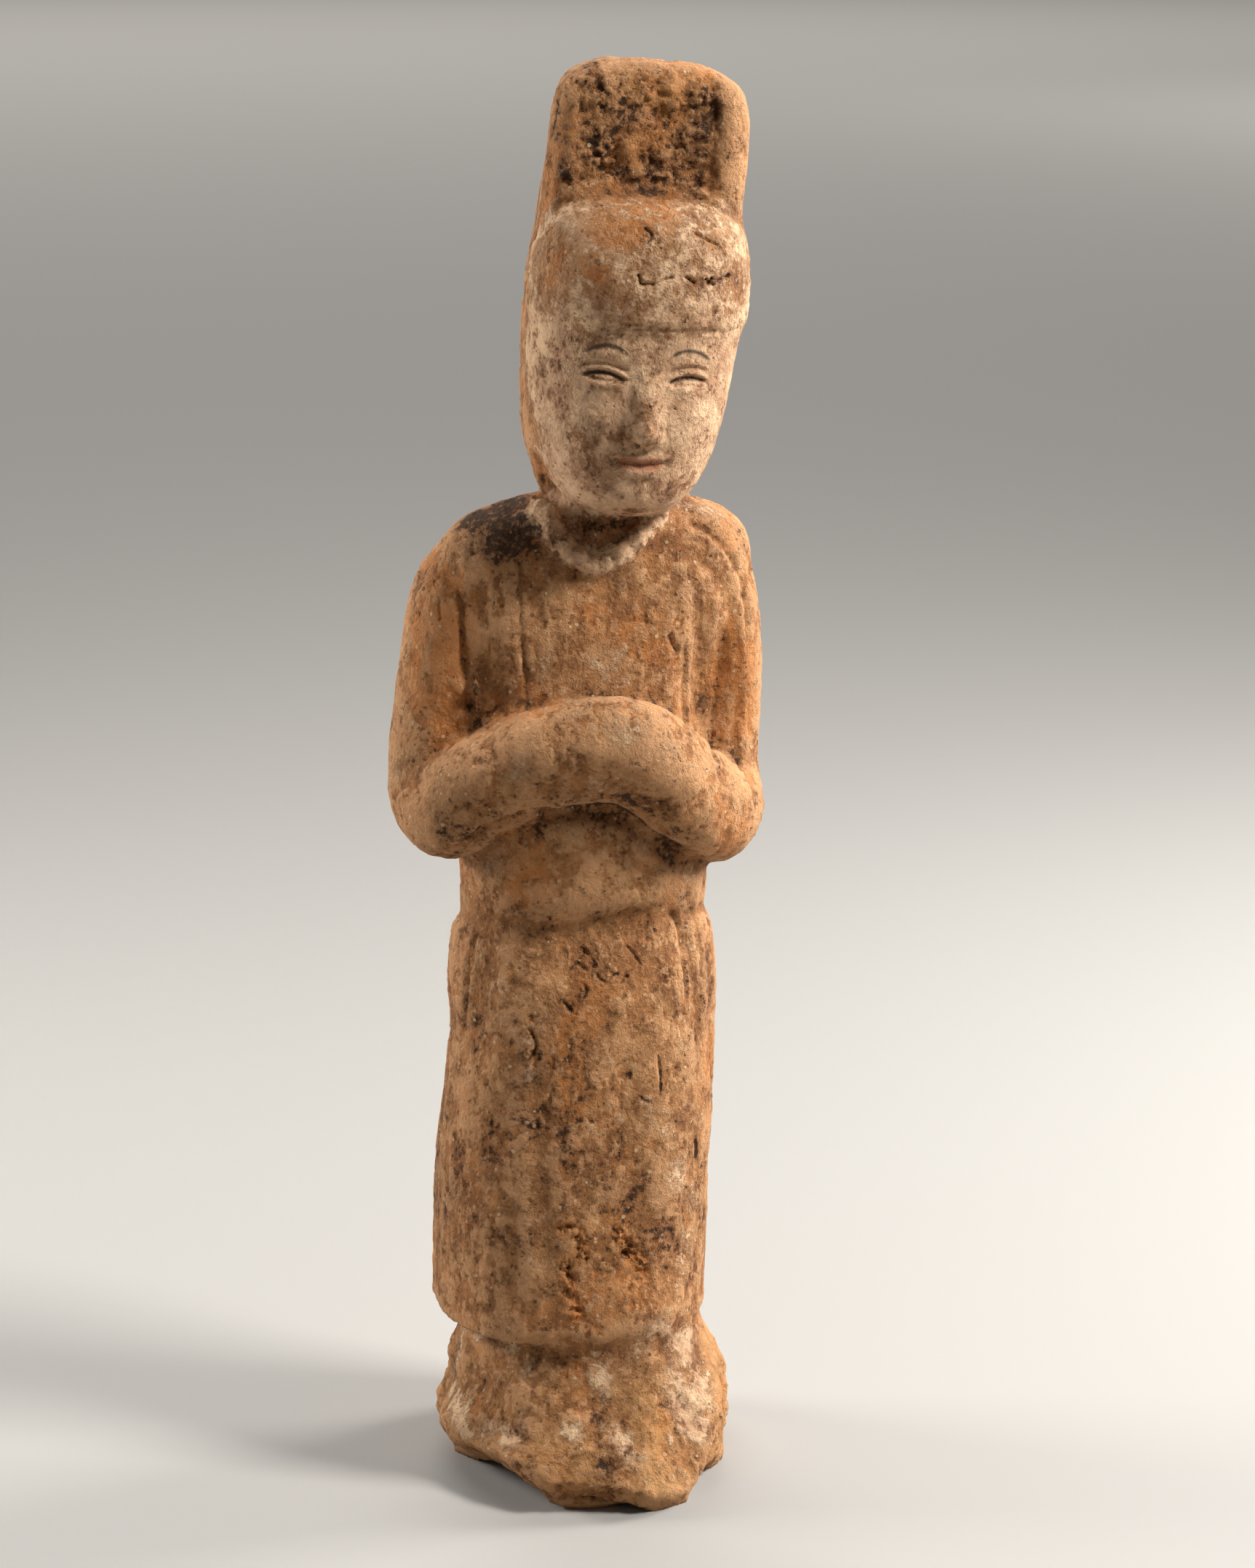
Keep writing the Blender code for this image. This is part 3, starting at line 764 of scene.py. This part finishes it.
SLIP_STREAKS = (
    # pixels, half width in mm, thickness
    (((905, 1826), (935, 1850), (952, 1880)), 4.0, 0.95),
    (((950, 1850), (962, 1900), (958, 1960)), 4.5, 0.95),
    (((925, 1880), (930, 1930), (925, 1985)), 3.0, 0.75),
    (((820, 1860), (828, 1890), (833, 1925)), 1.6, 0.85),
    (((656, 1836), (682, 1842), (704, 1852)), 2.0, 0.85),
    (((634, 1846), (624, 1900), (634, 1965)), 4.0, 0.72),
)
NECK_FRONT = (812, 730)
CAP_STAIN, JOINT_STAIN, HAT_STAIN = (800, 385), (880, 275), (765, 175)

across, forward, up, front = on_head()
above_neck = ease(-6, 0, up) * ease(196, 204, clay.at[:, 2])
capped = ease(CAP_EDGE - 5, CAP_EDGE + 7, up)
cap = above_neck * capped * (1 - ease(CAP_TALL - 2, CAP_TALL + 3, up))
face = above_neck * (1 - capped) * ease(-4, 3, forward + 5 * grain(14, seed=23))
behind = above_neck * (1 - ease(-8, 2, forward))
slip = 0.78 * face + 0.52 * cap + 0.90 * collar() + 0.45 * spot(NECK_FRONT, 8.0)
slip -= 0.30 * behind + 0.28 * spot(CAP_STAIN, 9.0) + 0.3 * spot(JOINT_STAIN, 9.0)
for pixel, radius, thickness in SLIP_PATCHES:
    slip = np.maximum(slip, thickness * spot(pixel, radius))
upright = 0.9 + 0.5 * grain(2.6, seed=26, tall=7)
for pixels, half, thickness in SLIP_STREAKS:
    slip = np.maximum(slip, thickness * near([pixels], half) * upright)
slip = np.maximum(slip, 0.10 + 0.20 * grain(20, seed=21, tall=1.8))
slip -= 0.9 * hat_front() + 0.22 * scaled
store("slip", slip + 0.24 * grain(10, seed=22))

# %% [markdown]
# Soil is near black where it is thickest: on the right shoulder against the neck, in the hat's raw
# front and down the strip behind the cap; the neck just below the chin is made as dark. Elsewhere a
# brown film fills every fold and pit. The same values also carry painted shade: every face that
# looks down is darker, and so are a band under the joined sleeves and their lower half. The foot
# carries an ochre crust with dark brown stains.

# %% Soil, painted shade, crust and stains
SOIL_PATCHES = (
    # pixel, radius in mm, thickness
    ((715, 722), 8.0, 1.35),
    ((728, 748), 5.0, 1.1),
    ((698, 698), 9.0, 1.25),
    ((700, 738), 7.0, 1.2),
    ((668, 706), 8.0, 1.15),
    ((648, 700), 6.0, 0.85),
    ((715, 775), 3.0, 0.7),
    # these two make the neck just below the chin dark
    ((820, 722), 5.0, 0.75),
    ((850, 728), 4.0, 0.7),
    ((742, 1862), 6.0, 0.74),
    ((772, 1872), 5.0, 0.6),
    ((866, 1866), 4.5, 0.62),
    ((735, 2005), 5.0, 0.55),
    ((690, 2012), 5.0, 0.6),
    ((826, 2016), 4.5, 0.7),
    ((960, 2010), 5.0, 0.6),
    ((820, 1955), 3.5, 0.7),
    ((760, 1790), 9.0, 0.35),
    ((720, 1740), 8.0, 0.3),
    ((795, 1265), 9.0, 0.4),
    ((780, 1250), 8.0, 0.35),
    ((690, 860), 9.0, 0.35),
    ((692, 930), 9.0, 0.42),
    ((953, 930), 4.0, 0.65),
    ((955, 965), 4.0, 0.7),
    ((952, 1005), 3.6, 0.65),
    ((768, 185), 9.0, 0.68),
    ((778, 235), 8.0, 0.72),
    ((765, 145), 7.0, 0.60),
    ((800, 215), 6.0, 0.66),
    ((762, 262), 5.0, 0.76),
)

soil_and_shade = 0.50 * ease(0.02, 0.30, fine_hollow) + 0.20 * ease(0.3, 2.2, wide_hollow)
# painted shade: every face that looks down, except on the face, is darkened with the soil's brown
soil_and_shade += 0.25 * ease(0.1, 0.8, -clay.out[:, 2]) * (1 - face)
soil_and_shade = np.maximum(soil_and_shade, 0.16 + 0.21 * grain(17, seed=34, tall=1.8) + 0.08 * scaled)
# painted shadow: a dark brown band on the belly just under the joined sleeves, where they shade it
soil_and_shade = np.maximum(soil_and_shade, 0.62 * hill(along(FREED)[0], 0, 7.0))
# painted shade: the lower half of the joined sleeves is darkened
soil_and_shade = np.maximum(soil_and_shade, 0.60 * hill(along(ROUNDED, 16)[0], 0, 11.0))
soil_and_shade = np.maximum(soil_and_shade, 0.50 * hill(along(BELT)[0], 0, 8.0))
soil_and_shade = np.maximum(soil_and_shade, 0.92 * near(CRACKS, 0.45))
soil_and_shade = np.maximum(soil_and_shade, 0.80 * near(SCRATCHES, 0.4))
soil_and_shade = np.maximum(soil_and_shade, 0.62 * near([fold[0] for fold in (*FOLDS[:4], FOLDS[7])], 0.6))
for pixel, radius, thickness in SOIL_PATCHES:
    soil_and_shade = np.maximum(soil_and_shade, thickness * spot(pixel, radius))
hat_dirt = hat_front()
soil_and_shade = np.maximum(soil_and_shade, hat_dirt * (0.66 + 0.08 * grain(7, seed=31) + 0.3 * fine_hollow))
soil_and_shade = np.maximum(soil_and_shade, 0.75 * back_strip())
height = clay.at[:, 2]
soil_and_shade += 0.28 * ease(40, 55, height) * (1 - ease(100, 118, height))  # a film all over the skirt
soil_and_shade *= 1 - 0.4 * face - 0.5 * cap * (fine_hollow < 0.12) - 0.5 * collar()
store("soil_and_shade", soil_and_shade + 0.06 * grain(5, seed=32))
store("crust", foot() * (0.5 + 0.5 * grain(12, seed=33)) + 0.25 * hat_dirt)
store("worn", ease(0.02, 0.18, -fine_hollow) + 0.4 * ease(0.5, 2.0, -wide_hollow))

# %% [markdown]
# Iron oxides in soil and old pigment leave ochre streaks down the right sleeve and orange torn
# clay in the gouges. Two thin black brow lines, the slits of the eyes and a trace of red on the
# lips are all that is left of the painting, and they too follow the face's own layout.

# %% Ochre, torn clay and the last of the paint
OCHRE_STREAKS = (
    ((604, 900), (607, 960), (616, 1020)),
    ((620, 860), (622, 940), (630, 1000)),
    ((578, 850), (574, 900), (576, 960)),
    ((1003, 860), (1000, 940), (1004, 1010)),
    ((1024, 900), (1026, 960), (1022, 1020)),
)

ochre = 1.1 * near(OCHRE_STREAKS, 3.0) * (0.7 + grain(3.5, seed=42, tall=8))
ochre += 0.5 * ease(0.1, 0.5, grain(14, seed=41))
ochre += 0.55 * spot(CAP_STAIN, 9.0) + 0.5 * spot(JOINT_STAIN, 9.0) + 0.6 * spot(HAT_STAIN, 8.0)
store("ochre", ochre + 0.2 * scaled)
store("torn", near(GOUGES, 2.0))

t, upper, lower = eye_edges(np.abs(across))
eye = ease(-0.04, 0.12, t) * (1 - ease(0.88, 1.06, t))
brow_t = (np.abs(across) - 3.4) / 10.6
brow_line = BROWS_UP - 0.9 + 2.4 * np.sin(np.pi * np.clip(brow_t, 0, 1) ** 0.85)
brow = ease(-0.02, 0.2, brow_t) * (1 - ease(0.75, 1.02, brow_t))
ink = 0.8 * brow * hill(up, brow_line, 0.5) + 0.8 * eye * hill(up, upper - 0.1, 0.5)
store("ink", front * ink)
parting = MOUTH_UP + 0.25 * (np.abs(across) / 4.6) ** 2
store("rouge", front * hill(up, parting - 0.2, 1.9) * (1 - ease(3.4, 5.6, np.abs(across))))

# %% [markdown]
# Low-fired earthenware is soft, open clay. It scatters light like chalk, with no shine at all, and
# its colour shifts within a finger's width from orange through buff to brown, because iron, lime
# and sand lie unevenly in it. The material builds that body first. It then lays slip, soil with its
# painted shade, crust and paint over it, each with a ragged edge: the value on the points says how
# much there is, and fine noise says just where. Sockets go by number, because a Mix node has
# several of one name. Its 0 is the factor, 2 and 3 are its plain values, and 6 and 7 its colours. A
# MapRange takes the value 0 from the range 1 to 2 into the range 3 to 4, and a Math node counts its
# numbers from 0.

# %% Colours and nodes


def linear(colour):
    """An sRGB hex colour as the linear values that a shader wants."""
    parts = [int(colour[i : i + 2], 16) / 255 for i in (1, 3, 5)]
    return (*(c / 12.92 if c <= 0.04045 else ((c + 0.055) / 1.055) ** 2.4 for c in parts), 1)


def add(kind, inputs=(), **settings):
    """Adds a node with its settings; an input is a value, or the socket that it is linked to."""
    made = tree.nodes.new("ShaderNode" + kind)
    for name, value in settings.items():
        setattr(made, name, value)
    for socket, value in dict(inputs).items():
        if isinstance(value, bpy.types.NodeSocket):
            tree.links.new(value, made.inputs[socket])
        else:
            made.inputs[socket].default_value = value
    return made


def fill(ramp, tones):
    """Fills a colour ramp from a table of positions and hex colours."""
    stops = ramp.color_ramp.elements
    while len(stops) < len(tones):
        stops.new(0.5)
    for stop, (position, colour) in zip(stops, tones):
        stop.position, stop.color = position, linear(colour)


earthenware = bpy.data.materials.new("low-fired earthenware")
earthenware.use_nodes = True
tree = earthenware.node_tree
tree.nodes.clear()
place = add("TexCoord").outputs["Object"]
print("the material starts empty")

# %% The clay body
NOISES = (
    # size of the lumps in mm, detail, roughness
    (28.0, 3.0, 0.60),
    (7.0, 7.0, 0.72),
    (2.2, 4.0, 0.75),
    (1.6, 5.0, 0.75),
    (0.9, 2.0, 0.60),
)
STREAK = (3.0, 3.0, 42.0)  # mm
BODY_TONES = (
    (0.36, "#5e3c25"),
    (0.44, "#875a37"),
    (0.50, "#a07046"),
    (0.56, "#b58255"),
    (0.66, "#d0a278"),
)
BLOTCH_SHARE, STREAK_SHARE, SAND_SHARE = 0.35, 0.28, 0.20

lumpy = []
for size, detail, rough in NOISES:
    look = {"Vector": place, "Scale": 1 / (size * MM), "Detail": detail, "Roughness": rough}
    lumpy.append(add("TexNoise", look).outputs[0])
blotches, mottling, specks, grit, sand = lumpy
stretched = add("Mapping", {"Vector": place, "Scale": tuple(1 / (side * MM) for side in STREAK)})
look = {"Vector": stretched.outputs[0], "Scale": 1.0, "Detail": 3.0, "Roughness": 0.6}
streaking = add("TexNoise", look).outputs[0]
tone = mottling
for share, other in ((BLOTCH_SHARE, blotches), (STREAK_SHARE, streaking), (SAND_SHARE, sand)):
    tone = add("Mix", {0: share, 2: tone, 3: other}).outputs[0]
body = add("ValToRGB", {0: tone})
fill(body, BODY_TONES)
print(f"{len(BODY_TONES)} tones of clay")

# %% Layers over it
SHARP, CHALKY, FILMY, SOFT = 0.10, 0.14, 0.26, 0.28  # half the span in which a layer thins out

edging = add("Mix", {0: 0.55, 2: mottling, 3: grit})
frayed = add("MapRange", {0: edging.outputs[0], 1: 0.40, 2: 0.60, 3: -0.5, 4: 0.5}).outputs[0]
spread = add("MapRange", {0: mottling, 1: 0.38, 2: 0.62}).outputs[0]
slip_ends = {0: spread, 6: linear("#ab7f5e"), 7: linear("#ddb993")}
slip_tone = add("Mix", slip_ends, data_type="RGBA").outputs[2]
COATS = (
    # value on the points, colour, level, edge, how ragged, how thick at most
    ("scaled", linear("#a2683d"), 0.50, SOFT, 0.5, 0.28),
    ("worn", linear("#d2a072"), 0.50, SOFT, 0.8, 0.50),
    ("ochre", linear("#b56c30"), 0.55, SOFT, 0.9, 0.55),
    ("torn", linear("#b8763f"), 0.50, SOFT, 0.8, 0.60),
    ("crust", linear("#ad7f4c"), 0.60, SOFT, 1.2, 0.60),
    ("slip", slip_tone, 0.50, CHALKY, 0.7, 0.80),
    ("rouge", linear("#9c4a2e"), 0.60, SOFT, 0.4, 0.55),
    # the soil coats lay the soil and also the painted shade under the sleeves and on downward faces
    ("soil_and_shade", linear("#66401f"), 0.50, FILMY, -0.5, 0.56),
    ("soil_and_shade", linear("#24160c"), 0.80, SHARP, -0.8, 0.82),
    ("ink", linear("#2b2019"), 0.45, SOFT, 0.3, 0.85),
)

colour, covers = body.outputs[0], {}
for name, tint, level, edge, ragged, most in COATS:
    amount = add("Attribute", attribute_name=name).outputs["Fac"]
    summed = add("Math", {0: frayed, 1: ragged, 2: amount}, operation="MULTIPLY_ADD").outputs[0]
    cover = add("MapRange", {0: summed, 1: level - edge, 2: level + edge, 3: 0.0, 4: most})
    covers[name] = cover.outputs[0]
    colour = add("Mix", {0: covers[name], 6: colour, 7: tint}, data_type="RGBA").outputs[2]
print(f"{len(COATS)} coats of slip, soil, crust and paint are laid on")

# %% Grit, relief and the shader
SAND_APART = 1.5  # mm; real grains lie closer, and would be lost in the picture
GRAIN_TONES = (
    (0.0, "#40270f"),
    (0.35, "#7d4a26"),
    (0.6, "#b8733f"),
    (0.8, "#cfa87c"),
    (1.0, "#dcc09a"),
)
BUMP_DEEP = 0.8  # mm

grains = add("TexVoronoi", {"Vector": place, "Scale": 1 / (SAND_APART * MM)})
grain_kind = add("SeparateColor", {0: grains.outputs["Color"]})
grain_half = add("MapRange", {0: grain_kind.outputs[0], 1: 0.35, 2: 1.0, 3: 0.0, 4: 0.36})
from_rim = {0: grain_half.outputs[0], 1: grains.outputs["Distance"]}
inside = add("Math", from_rim, operation="SUBTRACT").outputs[0]
grainy = add("MapRange", {0: inside, 1: 0.0, 2: 0.08, 3: 0.0, 4: 0.6}).outputs[0]
grain_tone = add("ValToRGB", {0: grain_kind.outputs[1]})
fill(grain_tone, GRAIN_TONES)
patchy = add("MapRange", {0: mottling, 1: 0.42, 2: 0.58, 3: 0.75, 4: 0.15}).outputs[0]
dark = add("MapRange", {0: specks, 1: 0.33, 2: 0.41, 3: 1.0, 4: 0.0}).outputs[0]
holed = add("Math", {0: dark, 1: patchy}, operation="MULTIPLY").outputs[0]
bright = add("MapRange", {0: specks, 1: 0.60, 2: 0.72, 3: 0.0, 4: 0.35}).outputs[0]
dots = ((grainy, grain_tone.outputs[0]), (bright, linear("#e2bd92")), (holed, linear("#3f2614")))
for share, tint in dots:
    colour = add("Mix", {0: share, 6: colour, 7: tint}, data_type="RGBA").outputs[2]
relief = grit
for raised, share in ((sand, 0.5), (holed, -0.5), (grainy, 0.3), (covers["slip"], 0.3)):
    relief = add("Math", {0: raised, 1: share, 2: relief}, operation="MULTIPLY_ADD").outputs[0]
bump = add("Bump", {"Height": relief, "Distance": BUMP_DEEP * MM, "Strength": 1.0})
dull = add("MapRange", {0: grit, 1: 0.3, 2: 0.7, 3: 0.82, 4: 0.96})
finish = {
    "Base Color": colour,
    "Roughness": dull.outputs[0],
    "Normal": bump.outputs[0],
    "IOR": 1.5,
    "Specular IOR Level": 0.25,
}
shader = add("BsdfPrincipled", finish)
add("OutputMaterial", {"Surface": shader.outputs[0]})
attendant.data.materials.clear()
attendant.data.materials.append(earthenware)
print(f"the earthenware has {len(tree.nodes)} nodes")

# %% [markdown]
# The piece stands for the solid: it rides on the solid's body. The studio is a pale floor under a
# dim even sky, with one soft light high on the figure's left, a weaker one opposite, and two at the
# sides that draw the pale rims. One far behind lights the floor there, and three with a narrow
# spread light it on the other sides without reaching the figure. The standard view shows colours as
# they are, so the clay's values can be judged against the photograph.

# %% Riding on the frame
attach(attendant, "root")
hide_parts("figure")
print("the skin stands for the solid")

# %% The studio
FLOOR_RADIUS = 30.0  # m
CHEST = (0.0, 0.0, 0.15)  # m
WIDE_SPREAD, NARROW_SPREAD = math.radians(180), math.radians(30)
LIGHTS = (
    # name, place, what it points at, width in m, watts, spread
    ("key", (0.70, -0.40, 0.95), CHEST, 0.25, 18.5, WIDE_SPREAD),
    ("fill", (-0.60, -0.80, 0.80), CHEST, 0.80, 0.7, WIDE_SPREAD),
    ("rim left", (-0.66, 0.26, 0.40), CHEST, 0.25, 5.0, WIDE_SPREAD),
    ("rim right", (0.70, 0.16, 0.40), CHEST, 0.25, 8.0, WIDE_SPREAD),
    ("floor light", (0.0, 8.0, 8.0), (0.0, 8.01, 0.0), 8.0, 1100.0, WIDE_SPREAD),
    ("side floor light", (7.0, 0.0, 5.0), (7.0, 0.0, 0.0), 10.0, 260.0, NARROW_SPREAD),
    ("side floor light", (-7.0, 0.0, 5.0), (-7.0, 0.0, 0.0), 10.0, 260.0, NARROW_SPREAD),
    ("side floor light", (0.0, -7.0, 5.0), (0.0, -7.0, 0.0), 10.0, 260.0, NARROW_SPREAD),
)
SKY_COLOUR, SKY_STRENGTH = "#d4d1cc", 0.07
FLOOR_COLOUR, FLOOR_ROUGH = "#9c9892", 0.8

pale = bpy.data.materials.new("pale matt floor")
pale.use_nodes = True
pale_shader = pale.node_tree.nodes["Principled BSDF"]
pale_shader.inputs["Base Color"].default_value = linear(FLOOR_COLOUR)
pale_shader.inputs["Roughness"].default_value = FLOOR_ROUGH
sheet = bmesh.new()
bmesh.ops.create_circle(sheet, cap_ends=True, segments=96, radius=FLOOR_RADIUS)
floor = bpy.data.objects.new("floor", bpy.data.meshes.new("floor"))
sheet.to_mesh(floor.data)
sheet.free()
floor.data.materials.append(pale)
bpy.context.scene.collection.objects.link(floor)

bpy.context.scene.view_settings.view_transform = "Standard"
world = bpy.data.worlds.new("pale room")
bpy.context.scene.world = world
world.use_nodes = True
sky = world.node_tree.nodes["Background"]
sky.inputs["Color"].default_value = linear(SKY_COLOUR)
sky.inputs["Strength"].default_value = SKY_STRENGTH

for name, where, aim, width, watts, spread in LIGHTS:
    lamp = bpy.data.lights.new(name, "AREA")
    lamp.size, lamp.energy, lamp.spread = width, watts, spread
    light = bpy.data.objects.new(name, lamp)
    light.location = where
    light.rotation_euler = (Vector(aim) - light.location).to_track_quat("-Z", "Y").to_euler()
    bpy.context.scene.collection.objects.link(light)
print(f"{len(LIGHTS)} lights")

# %% [markdown]
# Last, the solid's box is printed. The skin may stand proud of the solid only by its lumps and
# crusts.

# %% The solid's box, and the end
print("the solid's box:", [round(x / MM, 1) for corner in cad_box for x in corner])
